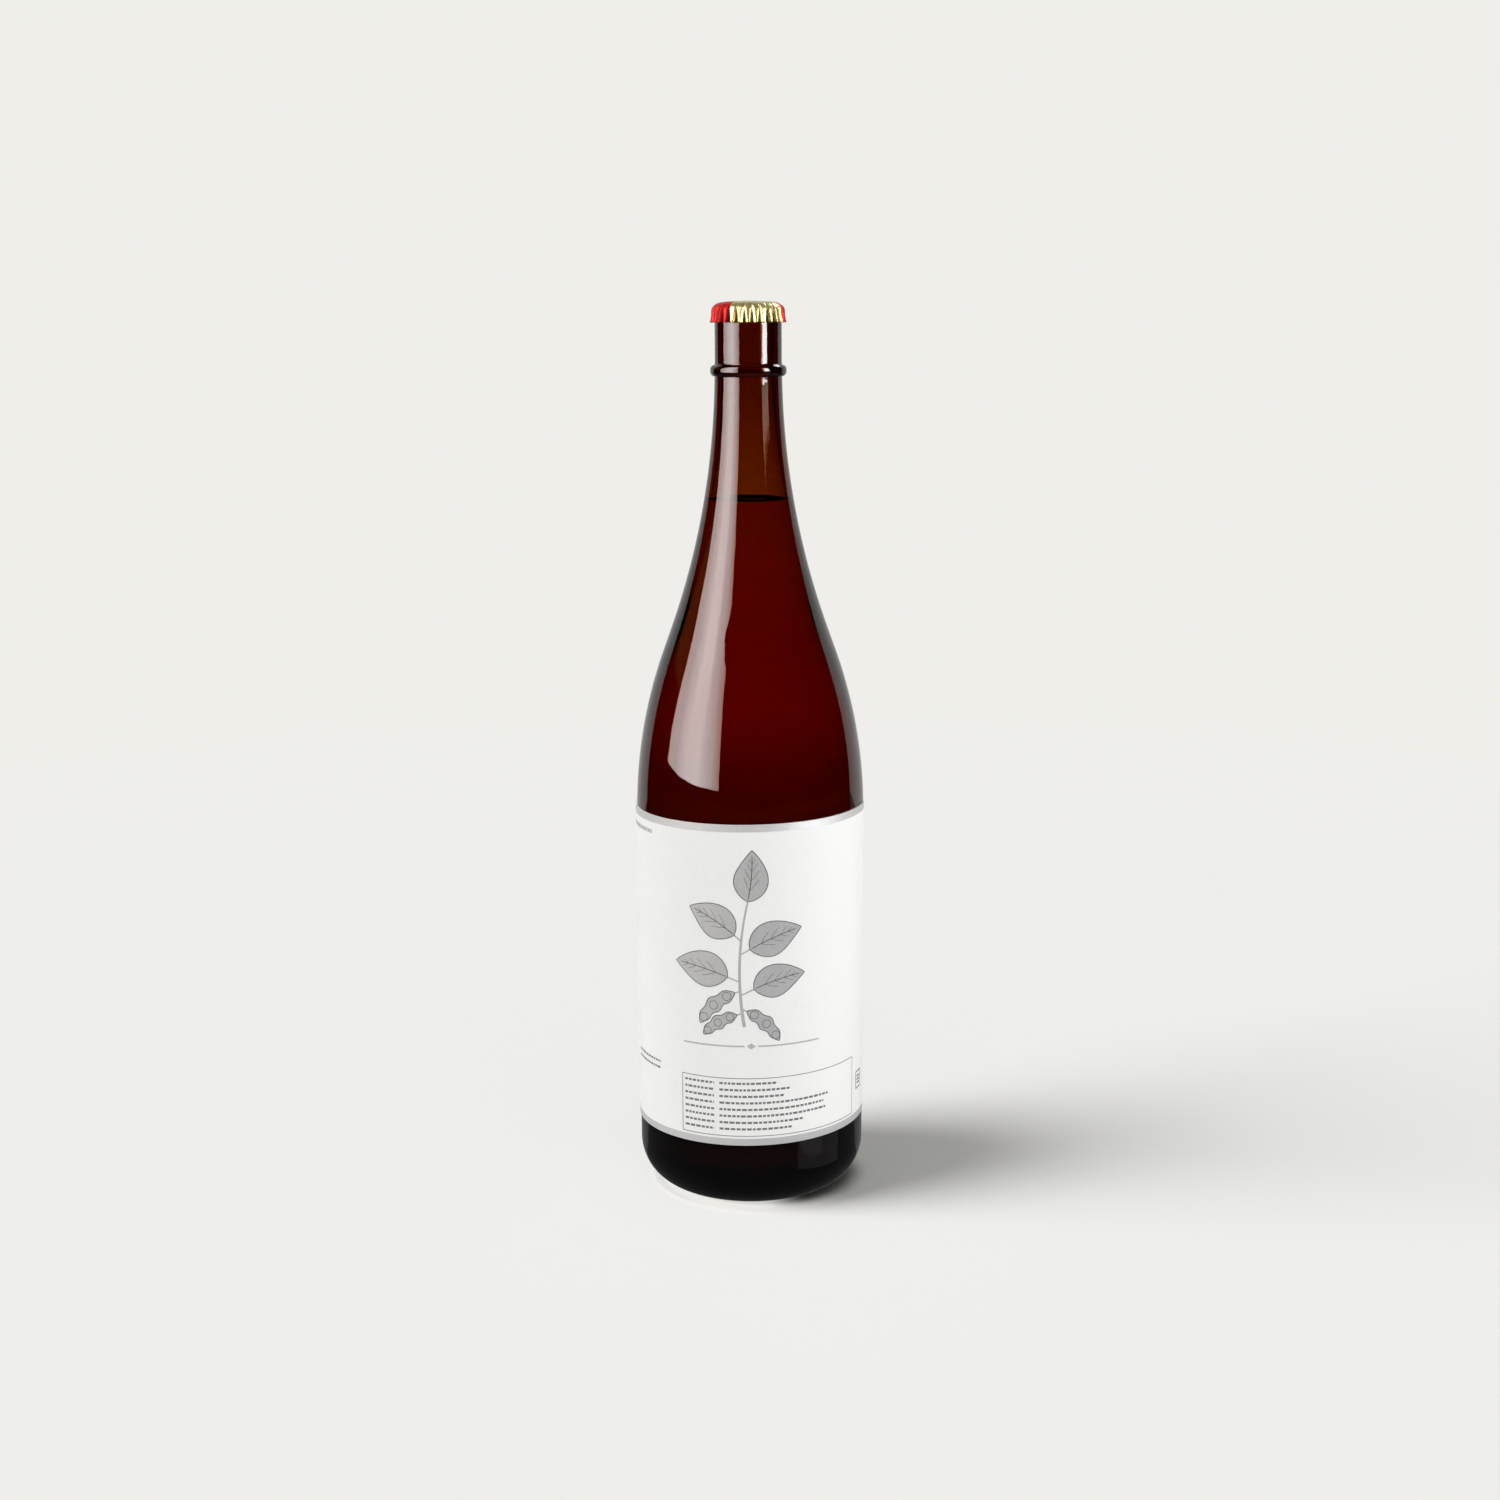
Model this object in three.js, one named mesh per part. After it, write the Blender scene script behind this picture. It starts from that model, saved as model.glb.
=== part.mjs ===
// A tall glass bottle of soy sauce with a fluted crown cap and a paper label.
// Millimetres, +Z up. The bottle stands on z = 0, its axis is the Z axis and its front faces -Y.
import * as THREE from 'three';

const degrees = THREE.MathUtils.degToRad;

// Bottle, outside
const BODY_R = 51.7;
const HEEL_WIDTH = 17;
const HEEL_HEIGHT = 19.5;
const FOOT_WIDTH = 4.7;
const PUSH_UP = 3;
const SHOULDER_Z = 175;
const SHOULDER_BEND = 217;
const SLOPE = degrees(19.7);
const CONE_LENGTH = 12;
const NECK_R = 14.88;

// Ring on the neck, and the mouth
const RING_Z = 372.6;
const RING_R = 16.85;
const RING_FLAT = 0.5;
const RING_BEVEL = 2.4;
const RING_CORNER = degrees(60);
const FINISH_R = 14.75;
const LIP_ROUND = 2.2;
const LIP_SLOPE = 1;
const MOUTH_Z = 400.9;

// Glass and what it holds
const WALL = 2.8;
const BORE_R = 10;
const FLOOR = 11;
const INNER_HEEL = 22;
const LIQUID_GAP = 0.3;
const LIQUID_Z = 315.9;

// Crown cap
const CAP_TOP = 402.7;
const CAP_DOME = 0.5;
const CAP_BOTTOM = 393.3;
const CAP_FACE_R = 10.5;
const CAP_SHOULDER = 3.9;
const CAP_SKIRT_R = 16.15;
const CAP_RIM_R = 16.8;
const CAP_SHEET = 0.65;
const FLUTES = 28;
const FLUTE_TOP = 400.2;
const FLUTE_DEPTH = 1.15;

// Label: angles are counted round the bottle from its front, positive towards +X
const LABEL_FROM = degrees(-105);
const LABEL_TO = degrees(80);
const LABEL_BOTTOM = 32.6;
const LABEL_HEIGHT = 146.9;
const LABEL_SKEW = degrees(0.7);
const LABEL_GAP = 0.2;
const PAPER = 0.3;
const FRONT = -Math.PI / 2;

// Facets
const GLASS_SIDES = 64;
const LIQUID_SIDES = 48;
const SIDES_PER_FLUTE = 4;
const LABEL_STEPS = 24;
const OUTER_STEPS = { heel: 6, shoulder: 8, neck: 11 };
const INNER_STEPS = { heel: 3, shoulder: 7, neck: 9 };
const FOOT_STEPS = 2;
const SMALL_STEPS = 3;
const CAP_STEPS = 4;

const point = (r, z) => new THREE.Vector2(r, z);

// Points on an ellipse about (r, z), from one angle to another. Angle 0 points away from the axis.
function arc(r, z, width, height, from, to, steps) {
  const points = [];
  for (let i = 0; i <= steps; i += 1) {
    const angle = from + ((to - from) * i) / steps;
    points.push(point(r + width * Math.cos(angle), z + height * Math.sin(angle)));
  }
  return points;
}

// Shoulder and neck at a depth below the outer surface: an outward bend, a cone, and an inward bend
// that ends upright at the throat.
function flank(depth, throatR, steps) {
  const shoulderCentre = BODY_R - SHOULDER_BEND;
  const outward = SHOULDER_BEND - depth;
  const coneR = shoulderCentre + outward * Math.cos(SLOPE) - CONE_LENGTH * Math.sin(SLOPE);
  const coneZ = SHOULDER_Z + outward * Math.sin(SLOPE) + CONE_LENGTH * Math.cos(SLOPE);
  const inward = (coneR - throatR) / (1 - Math.cos(SLOPE));
  const throatZ = coneZ + inward * Math.sin(SLOPE);
  return [
    ...arc(shoulderCentre, SHOULDER_Z, outward, outward, 0, SLOPE, steps.shoulder),
    ...arc(throatR + inward, throatZ, inward, inward, Math.PI + SLOPE, Math.PI, steps.neck),
  ];
}

// The part of a rising outline that lies below a level, ended on that level.
function upTo(level, outline) {
  const below = outline.filter((p) => p.y < level);
  const before = below[below.length - 1];
  const after = outline[below.length];
  const share = (level - before.y) / (after.y - before.y);
  return [...below, before.clone().lerp(after, share)];
}

// Inside of the glass from the middle of its floor up to the throat, or a gap further in. The wall
// thickens up the neck towards the bore.
function inside(gap) {
  const depth = WALL + gap;
  const floor = FLOOR + gap;
  const wall = BODY_R - depth;
  const heel = INNER_HEEL - gap;
  return [
    point(0, floor),
    ...arc(wall - heel, floor + heel, heel, heel, -Math.PI / 2, 0, INNER_STEPS.heel),
    ...flank(depth, BORE_R - gap, INNER_STEPS),
  ];
}

// Turns an outline of (radius, height) points about the Z axis.
function turned(outline, sides) {
  const geometry = new THREE.LatheGeometry(outline, sides);
  geometry.rotateX(Math.PI / 2);
  return geometry;
}

function bottle() {
  const footR = BODY_R - HEEL_WIDTH;
  const ringEdge = RING_FLAT / 2;
  const ringFoot = RING_Z - ringEdge - RING_BEVEL;
  const ringHead = RING_Z + ringEdge + RING_BEVEL;
  const ringRound = RING_R - FINISH_R;
  const lipR = FINISH_R - LIP_ROUND;
  const outline = [
    point(0, PUSH_UP),
    ...arc(0, 0, footR - FOOT_WIDTH, PUSH_UP, Math.PI / 4, 0, FOOT_STEPS),
    ...arc(footR, HEEL_HEIGHT, HEEL_WIDTH, HEEL_HEIGHT, -Math.PI / 2, 0, OUTER_STEPS.heel),
    ...upTo(ringFoot, flank(0, NECK_R, OUTER_STEPS)),
    ...arc(FINISH_R, RING_Z - ringEdge, ringRound, RING_BEVEL, -RING_CORNER, 0, SMALL_STEPS),
    ...arc(FINISH_R, RING_Z + ringEdge, ringRound, RING_BEVEL, 0, RING_CORNER, SMALL_STEPS),
    point(FINISH_R, ringHead),
    ...arc(lipR, MOUTH_Z - LIP_ROUND, LIP_ROUND, LIP_ROUND, 0, Math.PI / 2, SMALL_STEPS),
    point(BORE_R, MOUTH_Z - LIP_SLOPE),
    ...inside(0).reverse(),
  ];
  return turned(outline, GLASS_SIDES);
}

function soySauce() {
  const outline = upTo(LIQUID_Z, inside(LIQUID_GAP));
  return turned([...outline, point(0, LIQUID_Z)], LIQUID_SIDES);
}

// Presses the flutes into a cap turned round: no deeper than its shoulder at the top, deepest at the rim.
function pressFlutes(geometry) {
  const vertices = geometry.attributes.position;
  for (let i = 0; i < vertices.count; i += 1) {
    const x = vertices.getX(i);
    const y = vertices.getY(i);
    const drop = Math.max(0, FLUTE_TOP - vertices.getZ(i)) / (FLUTE_TOP - CAP_BOTTOM);
    const wave = 0.5 - 0.5 * Math.cos(FLUTES * Math.atan2(y, x));
    const keep = 1 - (FLUTE_DEPTH * drop * wave) / Math.max(Math.hypot(x, y), CAP_FACE_R);
    vertices.setX(i, x * keep);
    vertices.setY(i, y * keep);
  }
  return geometry;
}

function crownCap() {
  const shoulderZ = CAP_TOP - CAP_DOME - CAP_SHOULDER;
  const width = CAP_SKIRT_R - CAP_FACE_R;
  const innerWidth = width - CAP_SHEET;
  const innerShoulder = CAP_SHOULDER - CAP_SHEET;
  const rise = (shoulderZ + CAP_BOTTOM) / 2;
  const outline = [
    point(0, CAP_TOP - CAP_SHEET),
    ...arc(CAP_FACE_R, shoulderZ, innerWidth, innerShoulder, Math.PI / 2, 0, SMALL_STEPS),
    point(CAP_SKIRT_R - CAP_SHEET, rise),
    point(CAP_RIM_R - CAP_SHEET, CAP_BOTTOM),
    point(CAP_RIM_R, CAP_BOTTOM),
    point(CAP_SKIRT_R, rise),
    ...arc(CAP_FACE_R, shoulderZ, width, CAP_SHOULDER, 0, Math.PI / 2, CAP_STEPS),
    point(0, CAP_TOP),
  ];
  return pressFlutes(turned(outline, FLUTES * SIDES_PER_FLUTE));
}

// A sheet bent round the body, stuck on a little askew.
function label() {
  const innerR = BODY_R + LABEL_GAP;
  const sheet = new THREE.Shape();
  sheet.absarc(0, 0, innerR + PAPER, FRONT + LABEL_FROM, FRONT + LABEL_TO, false);
  sheet.absarc(0, 0, innerR, FRONT + LABEL_TO, FRONT + LABEL_FROM, true);
  const options = { depth: LABEL_HEIGHT, bevelEnabled: false, curveSegments: LABEL_STEPS };
  const geometry = new THREE.ExtrudeGeometry(sheet, options);
  const vertices = geometry.attributes.position;
  for (let i = 0; i < vertices.count; i += 1) {
    const angle = Math.atan2(vertices.getX(i), -vertices.getY(i));
    const lift = BODY_R * angle * Math.tan(LABEL_SKEW);
    vertices.setZ(i, vertices.getZ(i) + LABEL_BOTTOM + lift);
  }
  return geometry;
}

const part = new THREE.Group();

function add(name, geometry, color, roughness, metalness) {
  const mesh = new THREE.Mesh(geometry, new THREE.MeshStandardMaterial({ color, roughness, metalness }));
  mesh.name = name;
  part.add(mesh);
}

add('bottle', bottle(), 0x5a1e08, 0.06, 0);
add('soy_sauce', soySauce(), 0x2c0503, 0.05, 0);
add('crown_cap', crownCap(), 0xb7a267, 0.35, 0.9);
add('label', label(), 0xf0f0ee, 0.5, 0);

export default part;
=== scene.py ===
import math
import random

import bpy
import numpy as np
from mathutils import Matrix, Vector


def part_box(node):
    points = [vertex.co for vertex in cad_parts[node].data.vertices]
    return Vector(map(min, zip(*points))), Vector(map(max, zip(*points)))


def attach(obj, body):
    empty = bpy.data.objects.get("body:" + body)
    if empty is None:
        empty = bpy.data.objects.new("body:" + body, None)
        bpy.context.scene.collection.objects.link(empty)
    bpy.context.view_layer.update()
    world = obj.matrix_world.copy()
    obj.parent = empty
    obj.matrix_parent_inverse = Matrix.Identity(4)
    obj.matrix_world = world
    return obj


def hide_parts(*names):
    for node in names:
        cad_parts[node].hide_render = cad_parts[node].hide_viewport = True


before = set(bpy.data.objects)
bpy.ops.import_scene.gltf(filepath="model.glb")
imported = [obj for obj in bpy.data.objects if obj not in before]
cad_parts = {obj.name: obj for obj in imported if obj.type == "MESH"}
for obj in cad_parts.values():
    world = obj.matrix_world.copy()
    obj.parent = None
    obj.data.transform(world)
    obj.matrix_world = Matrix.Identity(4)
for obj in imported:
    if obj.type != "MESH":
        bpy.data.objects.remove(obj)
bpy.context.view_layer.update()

# A glass bottle of soy sauce with a crown cap and a paper label. Metres, +Z up, front towards -Y.
MM = 0.001
QUARTER = math.pi / 2
ON_AXIS = 1e-7
SHARP = 40
# Most of a noise's values lie in this range
NOISE_MIDDLE = (0.3, 0.7)

# Bottle: what the solids give, and the bends of the outline
BODY_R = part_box("bottle")[1].x
MOUTH_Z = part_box("bottle")[1].z
HEEL_WIDTH = 17 * MM
HEEL_HEIGHT = 19.5 * MM
FOOT_WIDTH = 4.7 * MM
PUSH_UP = 3 * MM
SHOULDER_Z = 175 * MM
SHOULDER_BEND = 217 * MM
SLOPE = math.radians(19.7)
CONE_LENGTH = 12 * MM
NECK_R = 14.88 * MM
RING_Z = 372.6 * MM
RING_R = 16.85 * MM
RING_FLAT = 0.5 * MM
RING_BEVEL = 2.4 * MM
RING_CORNER = math.radians(60)
FINISH_R = 14.75 * MM
LIP_ROUND = 2.2 * MM
LIP_SLOPE = 1 * MM
EDGE = 0.3 * MM
WALL = 2.8 * MM
BORE_R = 10 * MM
FLOOR = 11 * MM
INNER_HEEL = 22 * MM
PUSH_UP_FROM = math.radians(80)
GLASS_SIDES = 192
HEEL_STEPS = 20
FLANK_STEPS = 40
INSIDE_STEPS = 36
RING_STEPS = 12
SMALL_STEPS = 8

# Glass: tinted darker as painted shade up to the shoulder and clearer above, with smudges, fine ripples,
# waves and a broad swell
GLASS_IOR = 1.52
GLASS_COLOR = (0.81, 0.578, 0.0)
GLASS_DENSITY = 1350
PAINTED_SHADE_TINT = 0.49
CLEAR = 0.8
PAINTED_SHADE_TINT_TO = (0.180, 0.215)
# Noises here and below: scale, and some with a stretch along the axes and detail
SMUDGE_NOISE = (45, (1, 1, 0.4))
RIPPLE_NOISE = (520, (1, 1, 1.6), 1.0)
WAVE_NOISE = (90, (1, 1, 3.0), 2.0)
SWELL_NOISE = (32, (1, 1, 0.9), 0.0)
SMUDGED = (0.0, 0.03)
RIPPLES = 0.12
SWELL = 25
WAVE_HEIGHT = 0.012 * MM

# Soy sauce: it reaches into the wall, so that no air shows between the two
LEVEL_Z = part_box("soy_sauce")[1].z
INTO_WALL = 0.4 * MM
MENISCUS = 1.3 * MM
MENISCUS_WIDTH = 2 * MENISCUS
SAUCE_IOR = 1.37
SAUCE_COLOR = (0.999, 0.888, 0.0)
SAUCE_DENSITY = 400
FILM_LOW = (0.006, 0.0008, 0.0004)
FILM_HIGH = (0.014, 0.002, 0.001)
FILM_NOISE = (300,)
FILM_GLOSS = 0.07
FILM_ROUGHNESS = 0.45

# Crown cap
CAP_LOW, CAP_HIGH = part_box("crown_cap")
CAP_DOME = 0.5 * MM
CAP_FACE_R = 10.5 * MM
CAP_SHOULDER = 3.9 * MM
CAP_SKIRT_R = 16.15 * MM
CAP_SHEET = 0.35 * MM
FLUTES = 28
FLUTE_TOP = 401.8 * MM
FLUTE_DEPTH = 1.5 * MM
CREASE_WIDTH = 0.3
CREASE_WIDENS = 0.55
CREASE_FADE = 0.7
# Painted shade: how the lacquer darkens in the creases, and from how far down the skirt it darkens
# towards the rim
CREASE_PAINTED_SHADE = (0.2, 0.85)
RIM_PAINTED_SHADE_FROM = 0.88
SIDES_PER_FLUTE = 24
SKIRT_FROM = 0.15
SKIRT_ROWS = 8
CAP_STEPS = 14
CAP_INNER_STEPS = 10
CAP_SHARP = 60
CAP_DISC_R = 9.5 * MM
CAP_RED_FROM = (64, -120.5)
CAP_RED_SPAN = 90
# Lacquers: darkest and lightest tone, tone of the painted shade in the creases and along the rim,
# metallic, gloss and roughness
GOLD = ((0.53, 0.46, 0.19), (0.66, 0.59, 0.29), (0.07, 0.055, 0.008), 0.75, 0.2, 0.3)
RED = ((0.36, 0.006, 0.005), (0.46, 0.013, 0.011), (0.10, 0.002, 0.002), 0.2, 0.12, 0.32)
LACQUER_TONE_NOISE = (260,)
LACQUER_GRAIN_NOISE = (700,)
LACQUER_BUMP_NOISE = (800, (1, 1, 0.5), 2.0)
LACQUER_GRAIN = 0.06
LACQUER_BUMP = 0.06 * MM

# Label: lengths run round the bottle from its front, positive towards +X
LABEL_R = -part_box("label")[0].x
LABEL_GLUE = 0.02 * MM
LABEL_BACK_R = BODY_R + LABEL_GLUE
LABEL_FROM = math.radians(-105) * LABEL_R
LABEL_TO = math.radians(80) * LABEL_R
LABEL_BOTTOM = 32.6 * MM
LABEL_TOP = 179.5 * MM
LABEL_SKEW = math.tan(math.radians(0.7))
LABEL_STEPS = 150
LABEL_SHARP = 30
FIBRE_NOISE = (900, (1, 1, 0.5), 6.0)
PAPER_PATCH_NOISE = (60,)
PAPER_LOW = (0.775, 0.778, 0.785)
PAPER_HIGH = (0.8, 0.803, 0.81)
PAPER_GLOSS = 0.12
PAPER_ROUGHNESS = (0.5, 0.62)
PAPER_BUMP = 0.006 * MM
INK_NOISE = (1200,)
INK_GLOSS = 0.2
INK_GRAIN = 0.05
# Inks: darkest and lightest tone, metallic and roughness
SILVER_BAND = ((0.47, 0.475, 0.48), (0.53, 0.535, 0.54), 0.15, 0.5)
SILVER_INK = ((0.39, 0.395, 0.40), (0.45, 0.455, 0.46), 0.1, 0.5)
GREY_INK = ((0.38, 0.38, 0.38), (0.46, 0.46, 0.46), 0.0, 0.55)
DARK_INK = ((0.05, 0.05, 0.052), (0.09, 0.09, 0.09), 0.0, 0.55)
FINE_INK = ((0.14, 0.14, 0.142), (0.19, 0.19, 0.19), 0.0, 0.55)

# Print: bands, the plant, and what stands for text. Frames give two lengths and two heights.
BAND = 3.2 * MM
INK_LIFT = 0.04 * MM
OUTLINE = 0.16 * MM
HAIR = 0.02 * MM
STEM_FOOT = (-3 * MM, 88 * MM)
STEM_HEADING = 100
STEM_BEND = -22
STEM_LENGTH = 58 * MM
STEM_HALF = (0.75, 0.4)
TWIG_HALF = 0.33 * MM
LEAF_VEINS = (6, 11, 16, 20)
LEAF_BELLY = 0.75
LEAF_TAPER = 0.9
VEIN_LEAN = 42
VEIN_BEND = -0.4
VEIN_AHEAD = 3
POD_BEANS = (7, 20, 33)
POD_BELLY = 0.9
POD_TAPER = 0.55
POD_WAIST = 0.15
BEAN_R = 0.52
BEAN_LINE = 0.7 * OUTLINE
STEM_STEPS = 28
POD_STEPS = 40
TWIG_STEPS = 6
BEAN_STEPS = 25
UPRIGHT_STEPS = 8
RULE_Z = 79 * MM
RULE_FROM, RULE_TO = 3 * MM, 32 * MM
RULE_HALF = 0.35 * MM
DIAMOND = (-2 * MM, 0, 2 * MM)
DIAMOND_HALF = 1.4 * MM
TOP_ROW = (-82 * MM, -52 * MM, 172 * MM, 0.9 * MM)
TEXT_FRAME = (-33 * MM, 56 * MM, 37 * MM, 64 * MM)
TEXT_FRAME_LINE = 0.16 * MM
TEXT_SEED = 7
TOP_ROW_SEED = 3
TEXT_ROWS = 8
TEXT_TOP = 61.6
TEXT_PITCH = 3.05
TEXT_HALF = 0.5 * MM
TEXT_NAMES = (-31.5 * MM, -17 * MM)
TEXT_LINES = (-14.5 * MM, 54 * MM)
TEXT_FILLED = (0.35, 0.98)
TEXT_WORD = (1.1, 2.3)
TEXT_SPACE = 0.55 * MM
SIDE_ROWS = (66 * MM, 63 * MM)
SIDE_FROM, SIDE_TO = -70 * MM, -47 * MM
SIGN_FRAME = (60.5 * MM, 66.5 * MM, 47 * MM, 55 * MM)
SIGN_FRAME_LINE = 0.3 * MM
SIGN_ROWS = (49.4 * MM, 51 * MM, 52.6 * MM)
SIGN_FROM, SIGN_TO = 62 * MM, 65 * MM
SIGN_HALF = 0.45 * MM

# Camera, solved from the photograph's outline of the bottle
CAMERA_AT = Vector((0, -0.9668, 0.3935))
CAMERA_DOWN = math.radians(11.18)
CAMERA_ROLL = math.radians(-0.249)
CAMERA_LENS = 51.97
CAMERA_SENSOR = 36

# Background and floor: the glow round the foot gives distances from its middle and strengths
BACKGROUND = (0.863, 0.855, 0.823)
AMBIENT = 0.58
SIDES_DARK = 0.04
BEHIND = (0.5, 0.88)
FLOOR_SIZE = 1.5
FLOOR_FADE = (0.55, 1.35)
FLOOR_NOISE = (3,)
FLOOR_LOW = (0.2585, 0.2575, 0.2525)
FLOOR_HIGH = (0.2615, 0.2605, 0.2555)
# Painted light: the floor's own emission, an even share and a glow round the foot, taken away next to
# the foot on the side turned from the light
FLOOR_UNSHADED = 0.246
FLOOR_GLOW_AT = Vector((0.0056, 0, 0))
FLOOR_LIT_FROM = Vector((-0.643, -0.766, 0))
FLOOR_LIT = (-0.1, 0.75)
FLOOR_GLOW = (
    (0.038, 0.36), (0.0414, 0.62), (0.0437, 0.64), (0.0459, 0.53), (0.0481, 0.38),
    (0.0495, 0.24), (0.0515, 0.08), (0.0548, 0.045), (0.08, 0.01), (0.11, 0.0),
)
FLOOR_SHADED_TO = Vector((0.87, -0.5, 0))
FLOOR_SHADED = (0.45, 0.9)
FLOOR_CONTACT = (0.05, 0.038)
# Painted shade: a black sheet on the floor under the bottle, seen only through the glass
SHADE_FOOT_R = 0.11
SHADE_FOOT_Z = 0.1 * MM
SHADE_FOOT_SIDES = 64

# Suns: name, azimuth, elevation, strength and softness
BOTTLE_SUNS = (
    ("key_high", -76, 60, 1.6, 14),
    ("key_low", -82, 35, 0.8, 38),
    ("fill", 60, 8, 2.1, 40),
)
FLOOR_SUNS = (
    ("floor_high", -75, 66, 3.95, 18),
    ("floor_low", -77, 35, 4.6, 37),
)

# Softbox: two places on the floor, two heights, a cut corner, and its light along its length
SOFTBOX = ((-0.373, -0.629), (-2.66, 0.126), 0.158, 1.9)
SOFTBOX_CORNER = ((0.1, 0.665), (0, 0.62))
SOFTBOX_STRENGTH = 11.7
SOFTBOX_PROFILE = (
    (0, 0.57), (0.457, 0.56), (0.61, 0.72), (0.76, 0.95), (0.81, 1.0),
    (0.85, 0.99), (0.92, 0.73), (0.975, 0.51), (1, 0.45),
)
SOFTBOX_TINT = (1.0, 0.89, 0.86)
SOFTBOX_WARM = (1.0, 0.64, 0.55)
SOFTBOX_TINTED = (0.3, 0.95)
SOFTBOX_NOISE = (3.0, (1.6, 0.5, 1), 3.0)
SOFTBOX_MOTTLE = (0.9, 1.1)

# Window: two places on the floor, two heights, and its light along its length
WINDOW = ((0.1205, -0.1688), (0.1755, -0.0808), 0.37, 0.5)
WINDOW_STRENGTH = 20
WINDOW_PROFILE = (
    (0, 0.0), (0.16, 0.02), (0.22, 0.05), (0.3, 0.2), (0.4, 0.42),
    (0.44, 1.0), (0.94, 1.0), (0.98, 0.0), (1, 0.0),
)
WINDOW_WARM = (1.0, 0.22, 0.06)
WINDOW_WARM_TO = (0.40, 0.44)
WINDOW_NOISE = (1300, (0.2, 1, 1), 1.0)
WINDOW_RAGGED = 0.09

# Panels: name, two places on the floor, two heights, radiance and colour. The rows called window_foot
# make one dim panel under the window, and those called sheen lie over each other.
WHITE = (1.0, 1.0, 1.0)
BACK_FROM, BACK_TO = (-3.84, 3.0), (4.9, 3.0)
SILL_FROM, SILL_TO = (0.1425, -0.1455), (0.1805, -0.0758)
PANELS = (
    ("backdrop", BACK_FROM, BACK_TO, -0.74, 3.5, 0.45, WHITE),
    ("backdrop_foot", BACK_FROM, BACK_TO, -1.6, -0.74, 0.1, WHITE),
    ("warm_card", (-2.7, 0.2), (-2.2, 2.1), 0.8, 2.5, 0.13, (1.0, 0.63, 0.11)),
    ("rim_light", (0.34, 0.86), (0.74, 0.54), 0.92, 1.2, 7, WHITE),
    ("window_foot", SILL_FROM, SILL_TO, 0.3674, 0.3699, 1.75, (1.0, 0.82, 0.62)),
    ("window_foot", SILL_FROM, SILL_TO, 0.3653, 0.3674, 2.4, (1.0, 0.68, 0.54)),
    ("window_foot", SILL_FROM, SILL_TO, 0.3636, 0.3653, 2.3, (1.0, 0.53, 0.35)),
    ("window_foot", SILL_FROM, SILL_TO, 0.3620, 0.3636, 1.1, (1.0, 0.4, 0.16)),
    ("sheen", (1.49, -1.34), (1.97, 0.35), -0.9, -0.3, 0.1, WHITE),
    ("sheen", (1.55, -1.26), (1.95, -0.45), -0.8, -0.36, 0.1, WHITE),
    ("sheen", (1.62, -1.18), (1.83, -0.8), -0.72, -0.42, 0.1, WHITE),
)

# Other lamps, and the power of a lamp for each square metre and unit of radiance
UNDERGLOW_SIZE = 4.6
UNDERGLOW_Z = -0.5
UNDERGLOW_RADIANCE = 0.055
GLINT_AZIMUTH = 33
GLINT_OFF = 22 * MM
GLINT_SIZE = 12 * MM
GLINT_RADIANCE = 9
RADIANCE_TO_POWER = 4


def arc(r, z, width, height, start, stop, steps):
    """Points on an ellipse about (r, z). Angle 0 points away from the axis."""
    angles = np.linspace(start, stop, steps + 1)
    return [(r + width * math.cos(a), z + height * math.sin(a)) for a in angles]


def flank(depth, throat_r, steps):
    """Shoulder and neck at a depth below the outer surface, ended upright at the throat."""
    shoulder_r = BODY_R - SHOULDER_BEND
    outward = SHOULDER_BEND - depth
    cone_r = shoulder_r + outward * math.cos(SLOPE) - CONE_LENGTH * math.sin(SLOPE)
    cone_z = SHOULDER_Z + outward * math.sin(SLOPE) + CONE_LENGTH * math.cos(SLOPE)
    inward = (cone_r - throat_r) / (1 - math.cos(SLOPE))
    throat_z = cone_z + inward * math.sin(SLOPE)
    return [
        *arc(shoulder_r, SHOULDER_Z, outward, outward, 0, SLOPE, steps),
        *arc(throat_r + inward, throat_z, inward, inward, math.pi + SLOPE, math.pi, steps),
    ]


def up_to(level, outline):
    """The part of a rising outline below a level, ended on that level."""
    below = [p for p in outline if p[1] < level]
    (r0, z0), (r1, z1) = below[-1], outline[len(below)]
    return [*below, (r0 + (r1 - r0) * (level - z0) / (z1 - z0), level)]


def inside(gap, steps):
    """Outline from the middle of the glass floor up to the throat, or a gap further in."""
    wall = BODY_R - WALL - gap
    floor = FLOOR + gap
    heel = INNER_HEEL - gap
    return [
        (0, floor),
        *arc(wall - heel, floor + heel, heel, heel, -QUARTER, 0, steps // 3),
        *flank(WALL + gap, BORE_R - gap, steps),
    ]


def new_piece(name, points, faces, materials, sharp=SHARP):
    """A smooth mesh object that rides on the part."""
    mesh = bpy.data.meshes.new(name)
    mesh.from_pydata([tuple(p) for p in points], [], faces)
    mesh.shade_smooth()
    mesh.set_sharp_from_angle(angle=math.radians(sharp))
    for material in materials:
        mesh.materials.append(material)
    piece = bpy.data.objects.new(name, mesh)
    bpy.context.collection.objects.link(piece)
    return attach(piece, "root")


def turned(outline, sides):
    """Vertices and faces of an outline turned about the Z axis."""
    points, rings = [], []
    for r, z in outline:
        count = sides if r > ON_AXIS else 1
        turn = np.arange(count) * 2 * math.pi / count
        rings.append(range(len(points), len(points) + count))
        points += [(r * math.cos(a), r * math.sin(a), z) for a in turn]
    faces = []
    for low, high in zip(rings, rings[1:]):
        for i in range(sides):
            j = (i + 1) % sides
            corners = [low[i % len(low)], low[j % len(low)], high[j % len(high)], high[i % len(high)]]
            face = list(dict.fromkeys(corners))
            if len(face) > 2:
                faces.append(face)
    return points, faces


# Materials


def new_material(name, **values):
    """A material with one shader, its plain values set on its sockets."""
    material = bpy.data.materials.new(name)
    material.use_nodes = True
    nodes = material.node_tree.nodes
    shader = nodes["Principled BSDF"]
    for socket, value in values.items():
        shader.inputs[socket.replace("_", " ")].default_value = value
    return material, nodes, material.node_tree.links, shader


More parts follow.
